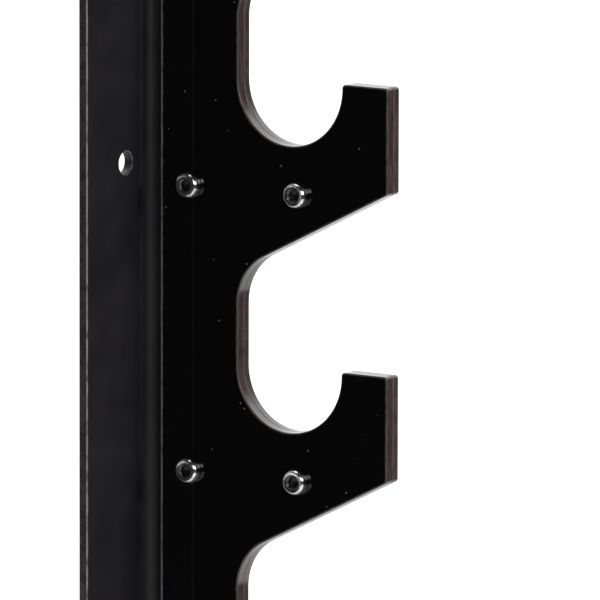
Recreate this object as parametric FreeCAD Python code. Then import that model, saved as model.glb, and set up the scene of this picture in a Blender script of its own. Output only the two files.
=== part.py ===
import FreeCAD, Part

import math
import os

from FreeCAD import Vector

# Wall rack for level cues: one bent steel upright with a row of open hooks.
# A plastic cheek covers one side of the hook plate and is screwed through it.
#
# Frame, in millimetres: the wall is the plane y = 0 and the rack stands out of it towards -Y.
# +Z is up. The wall screws are on the line x = 0, and z = 0 is halfway up the row of notches.
# "Reach" is a distance from the wall, so a point at reach r has y = -r.

# Row of hooks
hook_count = 6
hook_pitch = 88.0
strip_above_highest_tip = 13.5
strip_below_lowest_fillet = 5.0

# Hook shape, heights counted from the bottom of the hook's notch
notch_radius = 19.0
strip_reach = 38.8
tip_land = 16.6
tip_rise_over_notch_centre = 1.3
tip_drop = 12.2
underside_slope_deg = 26.5
underside_fillet = 17.0
tip_corner_radius = 1.2
end_corner_radius = 3.0

# Bent steel upright
sheet_thickness = 3.0
bend_radius = 4.5
flange_width = 35.2
flange_corner_radius = 4.0
steel_edge_round = 0.3

# Wall screw holes in the flange, beside the highest hook and every second one below it
wall_hole_diameter = 7.0
wall_hole_to_hook_plate = 11.5
wall_hole_below_notch = 8.5
hooks_per_wall_hole = 2

# Plastic cheek
cheek_thickness = 3.5
cheek_clear_of_bend = 2.4
cheek_corner_radius = 2.0
cheek_edge_round = 0.4

# Cheek screws: M4 x 12 pan head screws with a hexagon socket, each with a washer and a nut behind
inner_screw_from_cheek_edge = 11.6
outer_screw_past_notch_centre = 3.2
screw_below_notch = 14.6
screw_thread_diameter = 4.0
screw_length = 12.0
screw_head_diameter = 8.0
screw_head_height = 3.1
screw_head_edge_round = 1.5
screw_socket_across_flats = 3.0
screw_socket_depth = 1.8
screw_end_chamfer = 0.5
screw_hole_clearance = 0.25
thread_clearance = 0.05
washer_outer_diameter = 9.0
washer_hole_diameter = 4.3
washer_thickness = 0.8
nut_across_flats = 7.0
nut_height = 3.2
nut_chamfer_deg = 30.0

# Worked out from the sizes above, along X
plate_front = wall_hole_to_hook_plate
plate_back = plate_front + sheet_thickness
cheek_front = plate_front - cheek_thickness
flange_edge = plate_back - flange_width
nut_seat = plate_back + washer_thickness

# Reaches
bend_end = sheet_thickness + bend_radius
cheek_reach = bend_end + cheek_clear_of_bend
notch_centre_reach = strip_reach + notch_radius
notch_far_side = strip_reach + 2 * notch_radius
tip_reach = notch_far_side + tip_land
inner_screw_reach = cheek_reach + inner_screw_from_cheek_edge
outer_screw_reach = notch_centre_reach + outer_screw_past_notch_centre
screw_hole_radius = screw_thread_diameter / 2 + screw_hole_clearance

# Heights
tip_rise = notch_radius + tip_rise_over_notch_centre
underside_rise = (tip_reach - strip_reach) * math.tan(math.radians(underside_slope_deg))
underside_fillet_setback = underside_fillet / math.tan(math.radians(45 + underside_slope_deg / 2))
highest_notch = (hook_count - 1) * hook_pitch / 2
rack_head = highest_notch + tip_rise + strip_above_highest_tip
lowest_fillet_end = -highest_notch - tip_drop - underside_rise - underside_fillet_setback
rack_foot = lowest_fillet_end - strip_below_lowest_fillet
rack_height = rack_head - rack_foot

same_point = 1e-6

ALONG_X = Vector(1, 0, 0)
ALONG_Y = Vector(0, 1, 0)
ALONG_Z = Vector(0, 0, 1)


def notch_bottom(hook):
    """Height of the bottom of a hook's notch; hook 0 is the lowest."""
    return hook * hook_pitch - highest_notch


def hook_screw_places():
    """Hook number, place in the hook ("inner" or "outer"), reach and height of every cheek screw."""
    places = []
    for hook in range(hook_count):
        z = notch_bottom(hook) - screw_below_notch
        places.append((hook, "inner", inner_screw_reach, z))
        places.append((hook, "outer", outer_screw_reach, z))
    return places


def corner_arc(before, corner, after, radius):
    """Start, middle and end of the arc that rounds a corner between its two neighbours."""
    back = (before - corner).normalize()
    ahead = (after - corner).normalize()
    half_angle = back.getAngle(ahead) / 2
    setback = radius / math.tan(half_angle)
    rise = radius / math.sin(half_angle) - radius
    return corner + back * setback, corner + (back + ahead).normalize() * rise, corner + ahead * setback


def rounded_wire(corners, place):
    """Closed wire through corners (u, v, radius), each rounded by a tangent arc of its radius.

    place(u, v) turns the outline's flat coordinates into a point in space.
    """
    points = [Vector(u, v, 0) for u, v, _radius in corners]
    arcs = []
    for index, (_u, _v, radius) in enumerate(corners):
        following = points[(index + 1) % len(points)]
        arcs.append(corner_arc(points[index - 1], points[index], following, radius))
    edges = []
    for index, (start, middle, end) in enumerate(arcs):
        if (end - start).Length > same_point:
            edges.append(Part.Arc(*[place(p.x, p.y) for p in (start, middle, end)]).toShape())
        next_start = arcs[(index + 1) % len(arcs)][0]
        if (next_start - end).Length > same_point:
            edges.append(Part.makeLine(place(end.x, end.y), place(next_start.x, next_start.y)))
    return Part.Wire(edges)


def hook_plate_corners(first_reach, first_corner_radius):
    """Outline of the plate with its hooks, from first_reach outwards, as (reach, height, radius)."""
    corners = [(first_reach, rack_foot, first_corner_radius)]
    corners.append((strip_reach, rack_foot, end_corner_radius))
    for hook in range(hook_count):
        bottom = notch_bottom(hook)
        tip_foot = bottom - tip_drop
        corners.append((strip_reach, tip_foot - underside_rise, underside_fillet))
        corners.append((tip_reach, tip_foot, tip_corner_radius))
        corners.append((tip_reach, bottom + tip_rise, tip_corner_radius))
        corners.append((notch_far_side, bottom + tip_rise, tip_corner_radius))
        corners.append((notch_far_side, bottom, notch_radius))
        corners.append((strip_reach, bottom, notch_radius))
    corners.append((strip_reach, rack_head, end_corner_radius))
    corners.append((first_reach, rack_head, first_corner_radius))
    return corners


def hook_plate(x, thickness, first_reach, first_corner_radius):
    """Flat plate with the hooks' outline, from x to x + thickness."""
    corners = hook_plate_corners(first_reach, first_corner_radius)
    wire = rounded_wire(corners, lambda reach, z: Vector(x, -reach, z))
    return Part.Face(wire).extrude(ALONG_X * thickness)


def edges_at_x(shape, x):
    """Edges of a shape that lie wholly in the plane at x."""
    flat = []
    for edge in shape.Edges:
        box = edge.BoundBox
        if abs(box.XMin - x) < same_point and abs(box.XMax - x) < same_point:
            flat.append(edge)
    return flat


def cylinder_along_x(radius, x_from, x_to, reach, z):
    return Part.makeCylinder(radius, x_to - x_from, Vector(x_from, -reach, z), ALONG_X)


def screw_holes(x_from, x_to):
    """Clearance holes of all cheek screws, as cutters."""
    return [
        cylinder_along_x(screw_hole_radius, x_from, x_to, reach, z)
        for _hook, _place, reach, z in hook_screw_places()
    ]


def make_upright():
    """Steel upright: wall flange, bend and hook plate in one bent sheet."""
    plate = hook_plate(plate_front, sheet_thickness, bend_end, 0)
    rims = edges_at_x(plate, plate_front) + edges_at_x(plate, plate_back)
    cut_rims = [edge for edge in rims if -edge.BoundBox.YMin > bend_end + same_point]
    plate = plate.makeFillet(steel_edge_round, cut_rims)
    bend_centre = Vector(plate_front - bend_radius, -bend_end, rack_foot)
    outside = Part.makeCylinder(bend_radius + sheet_thickness, rack_height, bend_centre, ALONG_Z, 90)
    inside = Part.makeCylinder(bend_radius, rack_height, bend_centre, ALONG_Z, 90)
    bend = outside.cut(inside)
    flange_corners = [
        (bend_centre.x, rack_foot, 0),
        (bend_centre.x, rack_head, 0),
        (flange_edge, rack_head, flange_corner_radius),
        (flange_edge, rack_foot, flange_corner_radius),
    ]
    flange_wire = rounded_wire(flange_corners, lambda x, z: Vector(x, 0, z))
    flange = Part.Face(flange_wire).extrude(-ALONG_Y * sheet_thickness)
    cutters = screw_holes(plate_front, plate_back)
    for hook in range(hook_count - 1, -1, -hooks_per_wall_hole):
        z = notch_bottom(hook) - wall_hole_below_notch
        mouth = Vector(0, 0, z)
        cutters.append(Part.makeCylinder(wall_hole_diameter / 2, sheet_thickness, mouth, -ALONG_Y))
    return plate.fuse([bend, flange]).removeSplitter().cut(Part.makeCompound(cutters))


def make_cheek():
    """Plastic cheek with the outline of the hook plate, from just past the bend."""
    cheek = hook_plate(cheek_front, cheek_thickness, cheek_reach, cheek_corner_radius)
    cheek = cheek.makeFillet(cheek_edge_round, edges_at_x(cheek, cheek_front))
    return cheek.cut(Part.makeCompound(screw_holes(cheek_front, plate_front)))


def hexagon_prism(across_flats, x_from, x_to, reach, z):
    """Hexagonal prism along X with two flats level."""
    corner_radius = across_flats / math.sqrt(3)
    points = []
    for turn in range(7):
        angle = math.radians(60 * turn)
        y = -reach + corner_radius * math.cos(angle)
        points.append(Vector(x_from, y, z + corner_radius * math.sin(angle)))
    return Part.Face(Part.makePolygon(points)).extrude(ALONG_X * (x_to - x_from))


def make_screw(reach, z):
    """Pan head screw with a hexagon socket: head on the cheek, thread towards the nut."""
    thread_radius = screw_thread_diameter / 2 - thread_clearance
    head_top = cheek_front - screw_head_height
    head = cylinder_along_x(screw_head_diameter / 2, head_top, cheek_front, reach, z)
    head = head.makeFillet(screw_head_edge_round, edges_at_x(head, head_top))
    socket = hexagon_prism(screw_socket_across_flats, head_top, head_top + screw_socket_depth, reach, z)
    thread_end = cheek_front + screw_length
    thread = cylinder_along_x(thread_radius, cheek_front, thread_end, reach, z)
    thread = thread.makeChamfer(screw_end_chamfer, edges_at_x(thread, thread_end))
    return head.fuse(thread).cut(socket)


def make_washer(reach, z):
    ring = cylinder_along_x(washer_outer_diameter / 2, plate_back, nut_seat, reach, z)
    return ring.cut(cylinder_along_x(washer_hole_diameter / 2, plate_back, nut_seat, reach, z))


def make_nut(reach, z):
    """Hexagon nut with its corners chamfered on the outer face."""
    far_face = nut_seat + nut_height
    body = hexagon_prism(nut_across_flats, nut_seat, far_face, reach, z)
    corner_radius = nut_across_flats / math.sqrt(3)
    corner_drop = (corner_radius - nut_across_flats / 2) * math.tan(math.radians(nut_chamfer_deg))
    cone_base = Vector(far_face - corner_drop, -reach, z)
    cone = Part.makeCone(corner_radius, nut_across_flats / 2, corner_drop, cone_base, ALONG_X)
    shoulder = cylinder_along_x(corner_radius, nut_seat, far_face - corner_drop, reach, z)
    body = body.common(shoulder.fuse(cone))
    return body.cut(cylinder_along_x(screw_thread_diameter / 2, nut_seat, far_face, reach, z))


def save(name, shape):
    shape.exportStep(os.path.join("parts", name + ".step"))


os.makedirs("parts", exist_ok=True)
save("upright", make_upright())
save("cheek", make_cheek())
for hook, place, reach, z in hook_screw_places():
    label = "hook_%d_%s" % (hook + 1, place)
    save(label + "_screw", make_screw(reach, z))
    save(label + "_washer", make_washer(reach, z))
    save(label + "_nut", make_nut(reach, z))
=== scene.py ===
import math

import bpy
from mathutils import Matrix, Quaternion, Vector
from mathutils.geometry import delaunay_2d_cdt


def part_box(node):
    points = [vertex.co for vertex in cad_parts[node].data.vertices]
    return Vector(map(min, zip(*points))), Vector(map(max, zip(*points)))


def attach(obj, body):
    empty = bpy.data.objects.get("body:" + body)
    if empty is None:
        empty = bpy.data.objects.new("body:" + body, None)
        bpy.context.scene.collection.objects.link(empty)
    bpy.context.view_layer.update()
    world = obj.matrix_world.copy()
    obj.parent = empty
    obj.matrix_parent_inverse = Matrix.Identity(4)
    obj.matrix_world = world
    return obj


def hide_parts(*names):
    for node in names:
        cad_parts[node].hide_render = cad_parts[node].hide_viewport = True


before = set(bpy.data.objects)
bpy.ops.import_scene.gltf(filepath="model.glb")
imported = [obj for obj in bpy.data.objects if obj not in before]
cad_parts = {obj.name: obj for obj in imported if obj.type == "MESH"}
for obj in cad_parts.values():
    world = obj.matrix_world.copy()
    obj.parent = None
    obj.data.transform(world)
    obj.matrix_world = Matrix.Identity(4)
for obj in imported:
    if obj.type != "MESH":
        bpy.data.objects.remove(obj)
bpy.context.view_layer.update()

# Wall rack for level cues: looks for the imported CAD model. Everything is in metres.
# The wall is the plane y = 0, +Z is up, and "reach" is a distance from the wall.

MM = 0.001

# Hook outline, as on the CAD model, heights counted from the bottom of a notch
NOTCH_RADIUS = 19 * MM
STRIP_REACH = 38.8 * MM
TIP_RISE = NOTCH_RADIUS + 1.3 * MM
TIP_DROP = 12.2 * MM
UNDERSIDE_SLOPE = math.radians(26.5)
UNDERSIDE_FILLET = 17 * MM
TIP_CORNER = 1.2 * MM
STRIP_CORNER = 3 * MM
SCREW_BELOW_NOTCH = 14.6 * MM

# Sheet, cheek and their edges
BEND_RADIUS = 4.5 * MM
FLANGE_CORNER = 4 * MM
CHEEK_CORNER = 2 * MM
STEEL_ROUND = 0.3 * MM
CHEEK_FRONT_ROUND = 0.4 * MM
CHEEK_INNER_ROUND = 1.2 * MM
CHEEK_BACK_ROUND = 0.15 * MM
EDGE_BAND = 0.7 * MM
HOLE_BREAK = 0.25 * MM
HOLE_BAND = 0.2 * MM
WALL_HOLE_RADIUS = 3.5 * MM
WALL_HOLE_BELOW_NOTCH = 8.5 * MM
SCREW_HOLE_RADIUS = 2.25 * MM
HOOKS_PER_WALL_HOLE = 2

# Screws, washers and nuts
THREAD_RADIUS = 1.95 * MM
THREAD_PITCH = 0.7 * MM
THREAD_DEPTH = 0.38 * MM
THREAD_FLAT = 0.12
THREAD_CLEARANCE = 0.04 * MM
THREAD_SHOWN = 3.6 * MM
END_CHAMFER = 0.4 * MM
SOCKET_ACROSS_FLATS = 3.0 * MM
SOCKET_DEPTH = 1.8 * MM
SOCKET_ROUND = 0.1 * MM
SOCKET_CHAMFER = 0.33 * MM
SOCKET_MOUTH_SLOPE = 0.8
SOCKET_TURN_STEP = math.radians(25)
SOCKET_LIP = 0.05 * MM
SOCKET_FLOOR_SHARE = 0.42
DRILL_POINT_SHARE = 0.25
DRILL_POINT = 0.3 * MM
HEAD_ROUND_WIDTH = 0.9 * MM
HEAD_ROUND_HEIGHT = 2.0 * MM
HEAD_DISH_SLOPE = math.radians(12)
HEAD_FOOT_CHAMFER = 0.15 * MM
WASHER_BORE_RADIUS = 2.15 * MM
WASHER_ROUND = 0.2 * MM
NUT_FACE_SHARE = 0.95
NUT_CHAMFER = math.radians(30)
NUT_COUNTERSINK = 0.15 * MM
NUT_EDGE = 0.08 * MM

# Edge mask: how much a place is worn and painted with a highlight, 0 on flat faces and below 0 in a
# recess, which gets painted shade
FLAT_MASK = 0.0
EDGE_MASK = 1.0
SOCKET_MASK = -1.0
DISH_MASK = 0.5
HEAD_ROUND_MASK = 0.8
HEAD_SIDE_MASK = 0.3
HEAD_FOOT_MASK = 0.5
THREAD_MASK = 0.3
THREAD_END_MASK = 0.6
NUT_FACE_MASK = 0.6
NUT_SIDE_MASK = 0.2

# How finely curves are cut
ARC_STEP = math.radians(3)
BEND_STEPS = 20
ROUND_STEPS = 4
HOLE_STEPS = 48
TURN_STEPS = 144
HEAD_ROUND_STEPS = 16
RINGS_PER_PITCH = 8
SHARP_ANGLE = math.radians(35)
PROBE = 0.001 * MM
SAME_POINT = 1e-9

EDGE_ATTRIBUTE = "edge"
FACE_SLOT = 0
EDGE_SLOT = 1


# ---------------------------------------------------------------- sizes from the frame

cheek_low, cheek_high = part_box("cheek")
upright_low, upright_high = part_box("upright")
hook_count = sum(1 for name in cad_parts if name.endswith("_inner_screw"))


def fastener_name(hook, place, kind):
    return "hook_%d_%s_%s" % (hook + 1, place, kind)


def axis_of(node):
    """Reach and height of a fastener's axis."""
    low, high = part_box(node)
    return -(low.y + high.y) / 2, (low.z + high.z) / 2


screw_axes = {}
for hook in range(hook_count):
    for place in ("inner", "outer"):
        screw_axes[hook, place] = axis_of(fastener_name(hook, place, "screw"))

plate_front = cheek_high.x
plate_back = upright_high.x
sheet = plate_back - plate_front
cheek_front = cheek_low.x
cheek_reach = -cheek_high.y
tip_reach = -cheek_low.y
rack_foot = upright_low.z
rack_head = upright_high.z
flange_edge = upright_low.x
bend_end = sheet + BEND_RADIUS
notch_far_side = STRIP_REACH + 2 * NOTCH_RADIUS
underside_rise = (tip_reach - STRIP_REACH) * math.tan(UNDERSIDE_SLOPE)
notch_bottoms = [screw_axes[hook, "inner"][1] + SCREW_BELOW_NOTCH for hook in range(hook_count)]


# ---------------------------------------------------------------- outlines

def outline(corners):
    """Points (u, v, normal u, normal v) along a closed outline of corners (u, v, radius).

    The corners run anticlockwise.
    """
    points = []
    count = len(corners)
    for index, (u, v, radius) in enumerate(corners):
        corner = Vector((u, v))
        back = (Vector(corners[index - 1][:2]) - corner).normalized()
        ahead = (Vector(corners[(index + 1) % count][:2]) - corner).normalized()
        out_in = Vector((-back.y, back.x))
        if radius == 0:
            points.append((u, v, out_in.x, out_in.y))
            continue
        out_on = Vector((ahead.y, -ahead.x))
        turn = out_in.angle_signed(out_on)
        half = math.pi / 2 - abs(turn) / 2
        centre = corner + (back + ahead).normalized() * (radius / math.sin(half))
        bulge = 1 if (corner - centre).dot(out_in + out_on) > 0 else -1
        steps = max(4, math.ceil(abs(turn) / ARC_STEP))
        start = math.atan2(out_in.y, out_in.x)
        for step in range(steps + 1):
            angle = start - turn * step / steps
            normal = Vector((math.cos(angle), math.sin(angle)))
            point = centre + normal * radius * bulge
            doubled = points and math.dist(points[-1][:2], point) < PROBE
            if not doubled:
                points.append((point.x, point.y, normal.x, normal.y))
    return points


def hook_corners(shift):
    """Corners of the plate's outer side, from foot to head, as (reach + shift, height, radius)."""
    strip = STRIP_REACH + shift
    tip = tip_reach + shift
    far = notch_far_side + shift
    corners = [(strip, rack_foot, STRIP_CORNER)]
    for bottom in notch_bottoms:
        tip_foot = bottom - TIP_DROP
        corners.append((strip, tip_foot - underside_rise, UNDERSIDE_FILLET))
        corners.append((tip, tip_foot, TIP_CORNER))
        corners.append((tip, bottom + TIP_RISE, TIP_CORNER))
        corners.append((far, bottom + TIP_RISE, TIP_CORNER))
        corners.append((far, bottom, NOTCH_RADIUS))
        corners.append((strip, bottom, NOTCH_RADIUS))
    corners.append((strip, rack_head, STRIP_CORNER))
    return corners


# ---------------------------------------------------------------- plates

class Shell:
    """Vertices with their normals and edge mask, and faces with their material numbers."""

    def __init__(self):
        self.vertices = []
        self.normals = []
        self.masks = []
        self.faces = []
        self.materials = []

    def add(self, point, normal, mask):
        self.vertices.append(tuple(point))
        self.normals.append(tuple(normal))
        self.masks.append(mask)
        return len(self.vertices) - 1

    def face(self, corners, material):
        self.faces.append(corners)
        self.materials.append(material)

    def strip(self, first, second, material):
        """Quads between two closed rings with the same number of vertices."""
        count = len(first)
        for index in range(count):
            after = (index + 1) % count
            self.face((first[index], first[after], second[after], second[index]), material)

    def plate_ring(self, points, place, level, mask):
        """One ring of a plate's edge. level(u) gives its depth, inset and tilt at u.

        Tilt 0 faces the front, a quarter turn the rim and half a turn the back.
        """
        flat = []
        ids = []
        for u, v, nu, nv in points:
            depth, inset, tilt = level(u)
            a = u - nu * inset
            b = v - nv * inset
            here = place(a, b, depth)
            outward = (place(a + nu * PROBE, b + nv * PROBE, depth) - here).normalized()
            forward = (place(a, b, depth - PROBE) - here).normalized()
            flat.append((a, b))
            ids.append(self.add(here, forward * math.cos(tilt) + outward * math.sin(tilt), mask))
        return flat, ids


def circle(u, v, radius):
    """Closed ring round a hole, clockwise, with normals that point into the hole."""
    points = []
    for step in range(HOLE_STEPS):
        angle = -2 * math.pi * step / HOLE_STEPS
        across = math.cos(angle)
        up = math.sin(angle)
        points.append((u + radius * across, v + radius * up, -across, -up))
    return points


def rim_levels(front_round, back_round, thickness):
    """Depth, inset and tilt of the rings that carry a plate's edge from its front to its back."""
    quarter = math.pi / 2
    levels = []
    for step in range(ROUND_STEPS + 1):
        tilt = quarter * step / ROUND_STEPS
        levels.append((front_round * (1 - math.cos(tilt)), front_round * (1 - math.sin(tilt)), tilt))
    for step in range(ROUND_STEPS + 1):
        tilt = quarter + quarter * step / ROUND_STEPS
        depth = thickness - back_round * (1 + math.cos(tilt))
        levels.append((depth, back_round * (1 - math.sin(tilt)), tilt))
    return levels


def encloses(ring, point):
    """True if the closed ring of (u, v) points goes round the point."""
    u, v = point
    odd = False
    for (u0, v0), (u1, v1) in zip(ring, ring[1:] + ring[:1]):
        if (v0 > v) != (v1 > v) and u < u0 + (u1 - u0) * (v - v0) / (v1 - v0):
            odd = not odd
    return odd


def add_cap(shell, loops, lines, turn_over):
    """Triangles of a plate's face between an outer loop and the loops of its holes."""
    flat = []
    shell_ids = []
    edges = list(lines)
    for ring, ids in loops:
        first = len(flat)
        count = len(ring)
        flat.extend(Vector(point) for point in ring)
        shell_ids.extend(ids)
        edges.extend((first + i, first + (i + 1) % count) for i in range(count))
    _points, _edges, triangles, origins, *_rest = delaunay_2d_cdt(flat, edges, [], 0, SAME_POINT, True)
    source = [originals[0] for originals in origins]
    outer = loops[0][0]
    for triangle in triangles:
        corners = [source[i] for i in triangle]
        middle = sum((flat[i] for i in corners), Vector((0, 0))) / 3
        in_hole = any(encloses(ring, middle) for ring, _ids in loops[1:])
        if in_hole or not encloses(outer, middle):
            continue
        ids = [shell_ids[i] for i in corners]
        shell.face(tuple(reversed(ids)) if turn_over else tuple(ids), FACE_SLOT)


def plate_shell(points, place, thickness, front_round, back_round, holes, lines=()):
    """A plate from its outline: two faces, a rounded rim and the walls of its holes.

    place(u, v, depth) gives a point in space, depth 0 being the front face. Seen from the
    front the outline runs anticlockwise. front_round(u) is the front edge's radius at u.
    lines are pairs of outline points joined on both faces.
    """
    shell = Shell()
    half_turn = math.pi

    def front_band(u):
        return 0, front_round(u) + EDGE_BAND, 0

    def back_band(u):
        return thickness, back_round + EDGE_BAND, half_turn

    rim = [shell.plate_ring(points, place, front_band, FLAT_MASK)]
    for step in range(len(rim_levels(0, 0, thickness))):
        def level(u):
            return rim_levels(front_round(u), back_round, thickness)[step]
        rim.append(shell.plate_ring(points, place, level, EDGE_MASK))
    rim.append(shell.plate_ring(points, place, back_band, FLAT_MASK))
    wall_strip = ROUND_STEPS + 1
    for index in range(len(rim) - 1):
        slot = EDGE_SLOT if index == wall_strip else FACE_SLOT
        shell.strip(rim[index + 1][1], rim[index][1], slot)

    front_loops = [rim[0]]
    back_loops = [rim[-1]]
    for u, v, radius in holes:
        mouth = circle(u, v, radius)
        levels = [(0, HOLE_BREAK + HOLE_BAND, 0)]
        levels += rim_levels(HOLE_BREAK, HOLE_BREAK, thickness)
        levels += [(thickness, HOLE_BREAK + HOLE_BAND, half_turn)]
        wall = []
        for index, ring_level in enumerate(levels):
            in_band = index in (0, len(levels) - 1)
            mask = FLAT_MASK if in_band else abs(math.cos(ring_level[2]))
            wall.append(shell.plate_ring(mouth, place, lambda u: ring_level, mask))
        for first, second in zip(wall, wall[1:]):
            shell.strip(second[1], first[1], FACE_SLOT)
        front_loops.append(wall[0])
        back_loops.append(wall[-1])
    add_cap(shell, front_loops, lines, False)
    add_cap(shell, back_loops, lines, True)
    return shell


def mesh_object(name, shell, materials, own_normals=True):
    """Blender object from a shell, with its edge mask as an attribute."""
    mesh = bpy.data.meshes.new(name)
    mesh.from_pydata(shell.vertices, [], shell.faces)
    for material in materials:
        mesh.materials.append(material)
    mesh.polygons.foreach_set("material_index", shell.materials)
    mask = mesh.attributes.new(EDGE_ATTRIBUTE, "FLOAT", "POINT")
    mask.data.foreach_set("value", shell.masks)
    mesh.shade_smooth()
    if own_normals:
        mesh.normals_split_custom_set_from_vertices(shell.normals)
    else:
        mesh.set_sharp_from_angle(angle=SHARP_ANGLE)
    piece = bpy.data.objects.new(name, mesh)
    bpy.context.scene.collection.objects.link(piece)
    return piece


def screw_holes(shift):
    """Holes for the cheek screws as (reach + shift, height, radius)."""
    return [(reach + shift, z, SCREW_HOLE_RADIUS) for reach, z in screw_axes.values()]


def make_cheek(materials):
    """The flat plate with the hooks' outline; its long inner edge runs beside the bend."""
    points = outline(
        [(cheek_reach, rack_foot, CHEEK_CORNER)]
        + hook_corners(0)
        + [(cheek_reach, rack_head, CHEEK_CORNER)]
    )

    def place(reach, z, depth):
        return Vector((cheek_front + depth, -reach, z))

    def front_round(reach):
        """Wider on the long edge beside the bend."""
        share = max(0, 1 - (reach - cheek_reach) / CHEEK_CORNER)
        return CHEEK_FRONT_ROUND + (CHEEK_INNER_ROUND - CHEEK_FRONT_ROUND) * share

    thickness = plate_front - cheek_front
    shell = plate_shell(points, place, thickness, front_round, CHEEK_BACK_ROUND, screw_holes(0))
    return mesh_object("cheek_plate", shell, materials)


def make_upright(materials):
    """The bent sheet, built flat and folded: u runs over the flange, the bend and the hook plate."""
    bend_start = plate_front - BEND_RADIUS - flange_edge
    bend_length = BEND_RADIUS * math.pi / 2
    bend_finish = bend_start + bend_length
    centre = Vector((plate_front - BEND_RADIUS, -bend_end))

    def place(u, v, depth):
        if u <= bend_start:
            return Vector((flange_edge + u, depth - sheet, v))
        if u >= bend_finish:
            return Vector((plate_front + depth, -bend_end - (u - bend_finish), v))
        angle = math.pi / 2 * (u - bend_start) / bend_length
        radius = BEND_RADIUS + depth
        return Vector((centre.x + radius * math.sin(angle), centre.y + radius * math.cos(angle), v))

    folds = [bend_start + bend_length * step / BEND_STEPS for step in range(BEND_STEPS + 1)]
    shift = bend_finish - bend_end
    points = outline(
        [(0, rack_foot, FLANGE_CORNER)]
        + [(u, rack_foot, 0) for u in folds]
        + hook_corners(shift)
        + [(u, rack_head, 0) for u in reversed(folds)]
        + [(0, rack_head, FLANGE_CORNER)]
    )
    lines = []
    for u in folds:
        lines.append(tuple(index for index, point in enumerate(points) if point[0] == u))
    holes = screw_holes(shift)
    for hook in range(hook_count - 1, -1, -HOOKS_PER_WALL_HOLE):
        holes.append((-flange_edge, notch_bottoms[hook] - WALL_HOLE_BELOW_NOTCH, WALL_HOLE_RADIUS))
    shell = plate_shell(points, place, sheet, lambda u: STEEL_ROUND, STEEL_ROUND, holes, lines)
    return mesh_object("upright_sheet", shell, materials)


# ---------------------------------------------------------------- screws, washers and nuts

def turned(name, node, rings, material, has_bore=False):
    """Mesh turned about a fastener's axis from rings of (x, radius, mask), outside from low x to high x.

    x and radius are numbers, or functions of the angle. A piece with a bore closes on itself.
    """
    reach, height = axis_of(node)
    shell = Shell()
    loops = []
    for x, radius, mask in rings:
        loop = []
        for step in range(TURN_STEPS):
            angle = 2 * math.pi * step / TURN_STEPS
            x_here = x(angle) if callable(x) else x
            r_here = radius(angle) if callable(radius) else radius
            point = (x_here, r_here * math.cos(angle) - reach, r_here * math.sin(angle) + height)
            loop.append(shell.add(point, (0, 0, 0), mask))
        loops.append(loop)
    for first, second in zip(loops, loops[1:]):
        shell.strip(first, second, FACE_SLOT)
    if has_bore:
        shell.strip(loops[-1], loops[0], FACE_SLOT)
        return mesh_object(name, shell, [material], own_normals=False)
    for loop, ring, forward in ((loops[0], rings[0], False), (loops[-1], rings[-1], True)):
        middle = shell.add((ring[0], -reach, height), (0, 0, 0), ring[2])
        for index in range(TURN_STEPS):
            pair = (loop[index], loop[(index + 1) % TURN_STEPS])
            shell.face((middle, *(pair if forward else reversed(pair))), FACE_SLOT)
    return mesh_object(name, shell, [material], own_normals=False)


def hexagon(across_flats, turn=0.0):
    """Radius of a hexagon at each angle; unturned, its corners lie along Y."""
    def radius(angle):
        from_flat = (angle - turn) % (math.pi / 3) - math.pi / 6
        return across_flats / 2 / math.cos(from_flat)
    return radius


def thread(x, crest, root_cut):
    """Radius of a right-hand thread at each angle, at one place along the axis."""
    def radius(angle):
        turns = (x / THREAD_PITCH - angle / (2 * math.pi)) % 1
        flank = abs(2 * turns - 1)
        depth = min(1, max(0, (flank - THREAD_FLAT) / (1 - 2 * THREAD_FLAT)))
        return crest - root_cut * depth
    return radius


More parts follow.
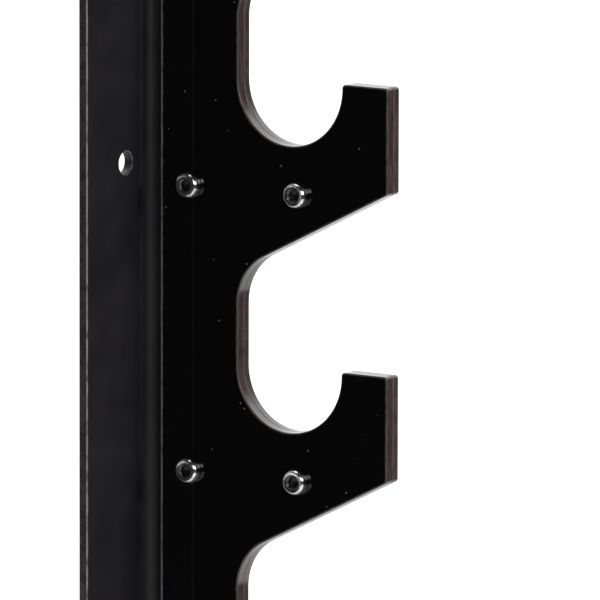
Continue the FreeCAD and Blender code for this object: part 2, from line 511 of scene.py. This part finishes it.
def make_screw(name, node, socket_turn, material):
    """Pan head with a shallow dish and a hexagon socket, and the thread end behind the nut."""
    low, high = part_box(node)
    head_radius = (high.z - low.z) / 2
    top = low.x
    seat = cheek_front
    socket = hexagon(SOCKET_ACROSS_FLATS, socket_turn)
    mouth = SOCKET_ACROSS_FLATS / math.sqrt(3) + SOCKET_CHAMFER
    floor = top + SOCKET_DEPTH
    dish = top + HEAD_ROUND_HEIGHT * (1 - math.cos(HEAD_DISH_SLOPE))
    rings = [
        (floor + DRILL_POINT, DRILL_POINT_SHARE * SOCKET_ACROSS_FLATS, SOCKET_MASK),
        (floor, SOCKET_FLOOR_SHARE * SOCKET_ACROSS_FLATS, SOCKET_MASK),
        (floor, lambda angle: socket(angle) - SOCKET_ROUND, SOCKET_MASK),
        (floor - SOCKET_ROUND, socket, SOCKET_MASK),
        (lambda angle: dish + (mouth - socket(angle)) * SOCKET_MOUTH_SLOPE, socket, SOCKET_MASK),
        (dish + SOCKET_LIP, mouth - SOCKET_LIP, SOCKET_MASK),
        (dish, mouth, DISH_MASK),
    ]
    for step in range(HEAD_ROUND_STEPS + 1):
        tilt = (math.pi / 2 + HEAD_DISH_SLOPE) * step / HEAD_ROUND_STEPS - HEAD_DISH_SLOPE
        x = top + HEAD_ROUND_HEIGHT * (1 - math.cos(tilt))
        rings.append((x, head_radius - HEAD_ROUND_WIDTH * (1 - math.sin(tilt)), HEAD_ROUND_MASK))
    rings += [
        (seat - HEAD_FOOT_CHAMFER, head_radius, HEAD_SIDE_MASK),
        (seat, head_radius - HEAD_FOOT_CHAMFER, HEAD_FOOT_MASK),
        (seat, THREAD_RADIUS, FLAT_MASK),
    ]
    end = high.x
    start = end - THREAD_SHOWN
    steps = math.ceil((THREAD_SHOWN - END_CHAMFER) / THREAD_PITCH * RINGS_PER_PITCH)
    for step in range(steps + 1):
        x = start + (THREAD_SHOWN - END_CHAMFER) * step / steps
        growth = min(1, step / RINGS_PER_PITCH)
        rings.append((x, thread(x, THREAD_RADIUS, THREAD_DEPTH * growth), THREAD_MASK))
    core = THREAD_RADIUS - THREAD_DEPTH
    rings.append((end, core - END_CHAMFER / 4, THREAD_END_MASK))
    return turned(name, node, rings, material)


def ring_profile(inner, outer, x_low, x_high, edge_round):
    """Rings of a flat washer with rounded outer edges and slightly broken inner ones."""
    rings = []
    for step in range(ROUND_STEPS + 1):
        tilt = math.pi / 2 * step / ROUND_STEPS
        x = x_low + edge_round * (1 - math.cos(tilt))
        rings.append((x, outer - edge_round * (1 - math.sin(tilt)), EDGE_MASK))
    for step in range(ROUND_STEPS + 1):
        tilt = math.pi / 2 * step / ROUND_STEPS
        x = x_high - edge_round * (1 - math.sin(tilt))
        rings.append((x, outer - edge_round * (1 - math.cos(tilt)), EDGE_MASK))
    rings.append((x_high, outer - 2 * edge_round, FLAT_MASK))
    rings.append((x_high, inner + HOLE_BREAK, EDGE_MASK))
    rings.append((x_high - HOLE_BREAK, inner, EDGE_MASK))
    rings.append((x_low + HOLE_BREAK, inner, EDGE_MASK))
    rings.append((x_low, inner + HOLE_BREAK, EDGE_MASK))
    rings.append((x_low, outer - 2 * edge_round, FLAT_MASK))
    return rings


def make_washer(name, node, material):
    low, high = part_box(node)
    outer = (high.z - low.z) / 2
    rings = ring_profile(WASHER_BORE_RADIUS, outer, low.x, high.x, WASHER_ROUND)
    return turned(name, node, rings, material, has_bore=True)


def make_nut(name, node, material):
    """Hexagon nut with chamfered corners and two turns of thread in its bore."""
    low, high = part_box(node)
    flats = high.z - low.z
    side = hexagon(flats)
    face = flats / 2 * NUT_FACE_SHARE
    fall = math.tan(NUT_CHAMFER)
    bore = THREAD_RADIUS + THREAD_CLEARANCE
    rings = [
        (low.x, bore + NUT_COUNTERSINK, NUT_FACE_MASK),
        (low.x, face, NUT_FACE_MASK),
        (lambda angle: low.x + (side(angle) - face) * fall, side, EDGE_MASK),
        (lambda angle: low.x + (side(angle) - face) * fall + NUT_EDGE, side, NUT_SIDE_MASK),
        (lambda angle: high.x - (side(angle) - face) * fall - NUT_EDGE, side, NUT_SIDE_MASK),
        (lambda angle: high.x - (side(angle) - face) * fall, side, EDGE_MASK),
        (high.x, face, NUT_FACE_MASK),
        (high.x, bore + NUT_COUNTERSINK, NUT_FACE_MASK),
    ]
    start = high.x - NUT_COUNTERSINK
    for step in range(2 * RINGS_PER_PITCH + 1):
        x = start - THREAD_PITCH * step / RINGS_PER_PITCH
        rings.append((x, thread(x, bore, THREAD_DEPTH), FLAT_MASK))
    rings.append((low.x + NUT_COUNTERSINK, bore, FLAT_MASK))
    return turned(name, node, rings, material, has_bore=True)


# ---------------------------------------------------------------- materials

# Colours as linear red, green and blue
COAT_DARK = (0.009, 0.008, 0.0105)
COAT_LIGHT = (0.014, 0.0125, 0.0155)
COAT_WORN = (0.25, 0.235, 0.24)
CUT_STEEL_DARK = (0.040, 0.029, 0.027)
CUT_STEEL_LIGHT = (0.062, 0.048, 0.045)
POLISHED_BLACK = (0.0030, 0.0026, 0.0030)
# Painted highlight on the cheek's rounded front rim, partly wear
RUBBED_BLACK_HIGHLIGHT = (0.055, 0.048, 0.045)
# Painted highlight along the cheek's long inner edge beside the bend
PALE_EDGE = (0.21, 0.195, 0.235)
DUST = (0.35, 0.33, 0.31)
CUT_PLASTIC_DARK = (0.024, 0.011, 0.009)
CUT_PLASTIC_LIGHT = (0.042, 0.022, 0.018)
# Painted highlight at the front of the plastic's cut edge
CUT_PLASTIC_HIGHLIGHT = (0.12, 0.10, 0.095)
SAW_LINES = (0.066, 0.043, 0.037)
SCREW_DARK = (0.40, 0.385, 0.40)
SCREW_LIGHT = (0.58, 0.565, 0.57)
WASHER_DARK = (0.42, 0.41, 0.39)
WASHER_LIGHT = (0.56, 0.55, 0.52)
NUT_DARK = (0.38, 0.37, 0.35)
NUT_LIGHT = (0.52, 0.51, 0.48)
# Painted shade for the inside of screw sockets
PAINTED_RECESS_SHADE = (0.07, 0.065, 0.07)
FLOOR_DARK = (0.80, 0.80, 0.80)
FLOOR_LIGHT = (0.84, 0.84, 0.84)

# Bands, wear, painted highlights and relief
SHELTER_FADE = 3 * MM
# Width and fade of the painted highlight along the cheek's inner edge
PALE_EDGE_WIDTH = 1.3 * MM
PALE_EDGE_FADE = 0.5 * MM
# Width and fade of the painted highlight band on the plastic's cut edge
HIGHLIGHT_BAND = 0.3 * MM
HIGHLIGHT_FADE = 0.35 * MM
ORANGE_PEEL_DEPTH = 0.002 * MM
STEEL_LINES_DEPTH = 0.006 * MM
SAW_LINES_DEPTH = 0.008 * MM
DUST_HEIGHT = 0.003 * MM
TURNING_MARKS_DEPTH = 0.003 * MM
HOOK_WEAR = 0.35
# Painted highlight: how much lighter the metal rims are painted
RUBBED_HIGHLIGHT_GAIN = 1.7


class Look:
    """A material with short calls for its nodes. Scales are in features per millimetre."""

    def __init__(self, name, roughness, metallic=0.0, ior=1.5):
        self.material = bpy.data.materials.new(name)
        self.material.use_nodes = True
        self.tree = self.material.node_tree
        self.shader = self.tree.nodes["Principled BSDF"]
        self.set("Roughness", roughness)
        self.set("Metallic", metallic)
        self.set("IOR", ior)
        self.position = self.node("ShaderNodeTexCoord").outputs["Object"]

    def set(self, socket, value):
        """Gives a shader socket a constant, or links it to a node's output."""
        if isinstance(value, bpy.types.NodeSocket):
            self.tree.links.new(value, self.shader.inputs[socket])
        else:
            self.shader.inputs[socket].default_value = value

    def node(self, kind, **inputs):
        """A node with its sockets fed by name; an underscore stands for a space."""
        made = self.tree.nodes.new(kind)
        for name, value in inputs.items():
            self.feed(made, name.replace("_", " "), value)
        return made

    def feed(self, node, socket, value):
        """Gives a node's socket a constant, or links it to another node's output."""
        if isinstance(value, bpy.types.NodeSocket):
            self.tree.links.new(value, node.inputs[socket])
        else:
            node.inputs[socket].default_value = value

    def stretched(self, stretch):
        """Position in features of one millimetre, stretched along the axes."""
        mapping = self.node("ShaderNodeMapping", Vector=self.position)
        mapping.inputs["Scale"].default_value = [s / MM for s in stretch]
        return mapping.outputs["Vector"]

    def noise(self, scale, detail=3.0, roughness=0.5, stretch=(1, 1, 1)):
        """Soft noise between 0 and 1, with that many features in a millimetre."""
        return self.node(
            "ShaderNodeTexNoise",
            Vector=self.stretched(stretch),
            Scale=scale,
            Detail=detail,
            Roughness=roughness,
        ).outputs["Fac"]

    def cells(self, scale, stretch=(1, 1, 1)):
        """Distance from the nearest of scattered points, with that many in a millimetre."""
        return self.node(
            "ShaderNodeTexVoronoi", Vector=self.stretched(stretch), Scale=scale
        ).outputs["Distance"]

    def level(self, value, low, high, to_low=0.0, to_high=1.0):
        """Takes values from low to high onto values from to_low to to_high, and stops there."""
        made = self.node("ShaderNodeMapRange", Value=value)
        made.interpolation_type = "SMOOTHSTEP"
        made.inputs["From Min"].default_value = low
        made.inputs["From Max"].default_value = high
        made.inputs["To Min"].default_value = to_low
        made.inputs["To Max"].default_value = to_high
        return made.outputs["Result"]

    def maths(self, operation, first, second):
        made = self.tree.nodes.new("ShaderNodeMath")
        made.operation = operation
        self.feed(made, 0, first)
        self.feed(made, 1, second)
        return made.outputs["Value"]

    def blend(self, share, first, second):
        """Colour that goes from first to second as share goes from 0 to 1."""
        made = self.tree.nodes.new("ShaderNodeMix")
        made.data_type = "RGBA"
        self.feed(made, "Factor", share)
        for socket, value in (("A", first), ("B", second)):
            target = [i for i in made.inputs if i.name == socket and i.type == "RGBA"][0]
            if isinstance(value, bpy.types.NodeSocket):
                self.tree.links.new(value, target)
            else:
                target.default_value = (*value, 1)
        return [o for o in made.outputs if o.type == "RGBA"][0]

    def edge(self):
        """The mesh's edge mask."""
        made = self.tree.nodes.new("ShaderNodeAttribute")
        made.attribute_name = EDGE_ATTRIBUTE
        return made.outputs["Fac"]

    def along(self, axis):
        """Position along one axis, in metres."""
        split = self.node("ShaderNodeSeparateXYZ", Vector=self.position)
        return split.outputs[axis]

    def bump(self, height, depth):
        """Relief whose height of 1 stands for that many metres."""
        made = self.node("ShaderNodeBump", Height=height, Strength=1.0, Distance=depth)
        self.set("Normal", made.outputs["Normal"])


def upright_coat():
    """Satin black powder coat with a fine orange peel, worn along its edges."""
    look = Look("black_powder_coat", 0.42)
    peel = look.noise(0.7, detail=2.0)
    grain = look.noise(6.0, detail=2.0)
    cloud = look.noise(0.03, detail=4.0)
    chips = look.level(look.noise(0.3, detail=4.0), 0.3, 0.7, to_low=-0.15, to_high=0.3)
    worn = look.level(look.maths("ADD", look.edge(), chips), 0.7, 1.1)
    across = look.along("X")
    sheltered = look.level(
        across, cheek_front, cheek_front + SHELTER_FADE, to_low=1.0, to_high=HOOK_WEAR
    )
    worn = look.maths("MULTIPLY", worn, sheltered)
    base = look.blend(look.level(cloud, 0.35, 0.65), COAT_DARK, COAT_LIGHT)
    look.set("Base Color", look.blend(worn, base, COAT_WORN))
    handled = look.noise(0.1, detail=3.0)
    look.set("Roughness", look.level(handled, 0.3, 0.7, to_low=0.38, to_high=0.46))
    look.bump(look.maths("ADD", peel, look.maths("MULTIPLY", grain, 0.2)), ORANGE_PEEL_DEPTH)
    return look.material


def steel_edge():
    """The sheet's cut edge under a thin coat, with the cutter's fine lines across it."""
    look = Look("coated_cut_steel", 0.2, ior=1.9)
    lines = look.noise(1.0, detail=3.0, stretch=(3.5, 0.2, 0.2))
    patches = look.noise(0.25, detail=3.0)
    base = look.blend(look.level(patches, 0.35, 0.65), CUT_STEEL_DARK, CUT_STEEL_LIGHT)
    look.set("Base Color", base)
    look.set("Roughness", look.level(lines, 0.3, 0.7, to_low=0.13, to_high=0.24))
    look.bump(lines, STEEL_LINES_DEPTH)
    return look.material


def cheek_face():
    """Polished black sheet with dust and hairline scratches. Its rounded front rim is painted lighter,
    partly as wear and partly as a painted highlight, and palest along the long inner edge beside the
    bend, which is a painted highlight.
    """
    look = Look("polished_black_plastic", 0.05)
    hairs = look.noise(1.0, detail=2.0, stretch=(1, 0.05, 9.0))
    scratch = look.level(hairs, 0.74, 0.82)
    smear = look.noise(0.05, detail=3.0)
    dust = look.level(look.cells(0.16), 0.045, 0.025)
    black = look.blend(dust, POLISHED_BLACK, DUST)
    uneven = look.level(look.noise(0.4, detail=3.0), 0.3, 0.7, to_low=-0.1, to_high=0.1)
    # Painted highlight: the edge mask lightens the rounded rim's colour, which is partly wear. The strip
    # beside the bend gets the pale colour that stands in for the highlight on that edge.
    rubbed_and_highlit = look.level(look.maths("ADD", look.edge(), uneven), 0.75, 1.0)
    pale_from = -cheek_reach - PALE_EDGE_WIDTH - PALE_EDGE_FADE
    pale_full = -cheek_reach - PALE_EDGE_WIDTH
    beside_bend = look.level(look.along("Y"), pale_from, pale_full)
    pale = look.blend(beside_bend, RUBBED_BLACK_HIGHLIGHT, PALE_EDGE)
    look.set("Base Color", look.blend(rubbed_and_highlit, black, pale))
    clean = look.level(smear, 0.35, 0.7, to_low=0.03, to_high=0.08)
    rough = look.maths("ADD", clean, look.maths("MULTIPLY", scratch, 0.2))
    rough = look.maths("ADD", rough, look.maths("MULTIPLY", dust, 0.5))
    look.set("Roughness", look.maths("ADD", rough, look.maths("MULTIPLY", rubbed_and_highlit, 0.35)))
    look.bump(look.maths("SUBTRACT", dust, scratch), DUST_HEIGHT)
    return look.material


def cheek_edge():
    """The plastic's cut edge: saw lines along it, and a pale band where it meets the polished face,
    which is a painted highlight.
    """
    look = Look("cut_black_plastic", 0.2, ior=1.9)
    lines = look.noise(1.0, detail=3.0, stretch=(3.0, 0.12, 0.12))
    patches = look.noise(0.3, detail=3.0)
    dark = look.blend(look.level(patches, 0.3, 0.7), CUT_PLASTIC_DARK, CUT_PLASTIC_LIGHT)
    body = look.blend(look.level(lines, 0.42, 0.62), dark, SAW_LINES)
    # Painted highlight: a pale band on the cut edge just behind the front rounding
    highlight_band_end = cheek_front + HIGHLIGHT_BAND + HIGHLIGHT_FADE
    rubbed_and_highlit = look.level(look.along("X"), highlight_band_end, cheek_front + HIGHLIGHT_BAND)
    rubbed_and_highlit = look.maths("MULTIPLY", rubbed_and_highlit, look.level(patches, 0.25, 0.6, to_low=0.35))
    look.set("Base Color", look.blend(rubbed_and_highlit, body, CUT_PLASTIC_HIGHLIGHT))
    look.set("Roughness", look.level(lines, 0.3, 0.7, to_low=0.12, to_high=0.24))
    look.bump(lines, SAW_LINES_DEPTH)
    return look.material


def plated_steel(name, dark, light, roughness):
    """Steel with turning marks and dull patches; its edges are made lighter, partly as wear and partly
    as a painted highlight, and its recesses are darkened with painted shade.
    """
    look = Look(name, roughness, metallic=1.0)
    patches = look.noise(1.4, detail=3.0)
    marks = look.noise(1.0, detail=2.0, stretch=(14.0, 1.5, 1.5))
    tone = look.blend(look.level(patches, 0.3, 0.7), dark, light)
    uneven = look.level(patches, 0.3, 0.7, to_low=-0.3, to_high=0.2)
    # Painted highlight: edges, rounded head rims and the head's dish get a lighter colour through the
    # edge mask. This stands in for the highlights on the rims and is partly wear.
    rubbed_and_highlit = look.level(look.maths("ADD", look.edge(), uneven), 0.3, 1.0)
    bright = tuple(min(1, channel * RUBBED_HIGHLIGHT_GAIN) for channel in light)
    shown = look.blend(rubbed_and_highlit, tone, bright)
    # Painted shade: places whose mask is below 0, the socket, get a dark colour that stands in for the
    # shade inside the recess.
    recess = look.level(look.edge(), -0.2, -0.8)
    look.set("Base Color", look.blend(recess, shown, PAINTED_RECESS_SHADE))
    smooth = roughness - 0.07
    dull = roughness + 0.08
    rough = look.level(marks, 0.3, 0.7, to_low=smooth, to_high=dull)
    look.set("Roughness", look.maths("ADD", rough, look.maths("MULTIPLY", recess, 0.2)))
    look.bump(marks, TURNING_MARKS_DEPTH)
    return look.material


# ---------------------------------------------------------------- the pieces

def install(piece, node):
    """Puts a piece in its CAD node's place, on the rack's only body."""
    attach(piece, "root")
    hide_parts(node)


install(make_upright([upright_coat(), steel_edge()]), "upright")
install(make_cheek([cheek_face(), cheek_edge()]), "cheek")

screw_finish = plated_steel("screw_plating", SCREW_DARK, SCREW_LIGHT, roughness=0.16)
washer_finish = plated_steel("washer_plating", WASHER_DARK, WASHER_LIGHT, roughness=0.33)
nut_finish = plated_steel("nut_plating", NUT_DARK, NUT_LIGHT, roughness=0.28)
for index, (hook, place) in enumerate(screw_axes):
    screw = fastener_name(hook, place, "screw")
    washer = fastener_name(hook, place, "washer")
    nut = fastener_name(hook, place, "nut")
    socket_turn = SOCKET_TURN_STEP * index
    install(make_screw(screw + "_steel", screw, socket_turn, screw_finish), screw)
    install(make_washer(washer + "_steel", washer, washer_finish), washer)
    install(make_nut(nut + "_steel", nut, nut_finish), nut)


# ---------------------------------------------------------------- camera

LENS = 791.22
SENSOR = 36.0
CLIP_END = 30
CAMERA_SIDE = math.radians(33.944)
CAMERA_RISE = math.radians(8.5)
CAMERA_ROLL = math.radians(0.12)
CAMERA_DISTANCE = 4.0
AIM = Vector((cheek_front, -0.06177, -0.00273))

camera_data = bpy.data.cameras.new("camera")
camera_data.lens = LENS
camera_data.sensor_width = SENSOR
camera_data.clip_end = CLIP_END
camera = bpy.data.objects.new("camera", camera_data)
towards_camera = Vector((
    -math.cos(CAMERA_SIDE) * math.cos(CAMERA_RISE),
    -math.sin(CAMERA_SIDE) * math.cos(CAMERA_RISE),
    math.sin(CAMERA_RISE),
))
camera.location = AIM + towards_camera * CAMERA_DISTANCE
camera.rotation_mode = "QUATERNION"
level_view = (-towards_camera).to_track_quat("-Z", "Y")
camera.rotation_quaternion = level_view @ Quaternion((0, 0, 1), CAMERA_ROLL)
bpy.context.scene.collection.objects.link(camera)
bpy.context.scene.camera = camera


# ---------------------------------------------------------------- studio

FLOOR_RADIUS = 0.7
FLOOR_SIDES = 96
FAR_SIDE = (0.62, 0.76, 0.15)
FAR_SIDE_FROM = 0.12
FAR_SIDE_FULL = 0.45
DIM_LEVEL = 0.02
BRIGHT_LEVEL = 1.5
LIGHT_AIM = Vector((0.0, -0.05, 0.0))


def make_floor():
    """Round pale floor at the rack's foot."""
    shell = Shell()
    ring = []
    for step in range(FLOOR_SIDES):
        angle = 2 * math.pi * step / FLOOR_SIDES
        point = (FLOOR_RADIUS * math.cos(angle), FLOOR_RADIUS * math.sin(angle), rack_foot)
        ring.append(shell.add(point, (0, 0, 1), 0))
    shell.face(tuple(ring), FACE_SLOT)
    look = Look("pale_floor", 0.6)
    cloud = look.level(look.noise(0.01), 0.3, 0.7)
    look.set("Base Color", look.blend(cloud, FLOOR_DARK, FLOOR_LIGHT))
    floor = mesh_object("floor", shell, [look.material])


def add_light(name, direction, distance, size, power):
    """Soft square light, seen from the rack in that direction."""
    data = bpy.data.lights.new(name, "AREA")
    data.size = size
    data.energy = power
    light = bpy.data.objects.new(name, data)
    way = Vector(direction).normalized()
    light.location = LIGHT_AIM + way * distance
    light.rotation_mode = "QUATERNION"
    light.rotation_quaternion = way.to_track_quat("Z", "Y")
    bpy.context.scene.collection.objects.link(light)


def make_world():
    """White behind the object; for its reflections, bright on the far side only."""
    world = bpy.data.worlds.new("studio")
    world.use_nodes = True
    tree = world.node_tree
    tree.nodes.clear()
    way = tree.nodes.new("ShaderNodeTexCoord")
    facing = tree.nodes.new("ShaderNodeVectorMath")
    facing.operation = "DOT_PRODUCT"
    facing.inputs[1].default_value = Vector(FAR_SIDE).normalized()
    tree.links.new(way.outputs["Generated"], facing.inputs[0])
    share = tree.nodes.new("ShaderNodeMapRange")
    share.interpolation_type = "SMOOTHSTEP"
    share.inputs["From Min"].default_value = FAR_SIDE_FROM
    share.inputs["From Max"].default_value = FAR_SIDE_FULL
    share.inputs["To Min"].default_value = DIM_LEVEL
    share.inputs["To Max"].default_value = BRIGHT_LEVEL
    tree.links.new(facing.outputs["Value"], share.inputs["Value"])
    seen = tree.nodes.new("ShaderNodeLightPath")
    level = tree.nodes.new("ShaderNodeMath")
    level.operation = "MAXIMUM"
    tree.links.new(share.outputs["Result"], level.inputs[0])
    tree.links.new(seen.outputs["Is Camera Ray"], level.inputs[1])
    background = tree.nodes.new("ShaderNodeBackground")
    tree.links.new(level.outputs["Value"], background.inputs["Strength"])
    output = tree.nodes.new("ShaderNodeOutputWorld")
    tree.links.new(background.outputs["Background"], output.inputs["Surface"])
    background.inputs["Color"].default_value = (1, 1, 1, 1)
    bpy.context.scene.world = world


make_floor()
make_world()
add_light("front", (0.0, -0.93, 0.36), distance=1.3, size=0.35, power=10)
add_light("key", (-0.54, -0.61, 0.59), distance=1.6, size=0.2, power=1.0)
add_light("top", (0.1, 0.2, 1.0), distance=1.6, size=1.2, power=8)
add_light("viewer", (-0.78, -0.56, 0.28), distance=1.6, size=0.5, power=3.8)
bpy.context.scene.view_settings.view_transform = "Standard"
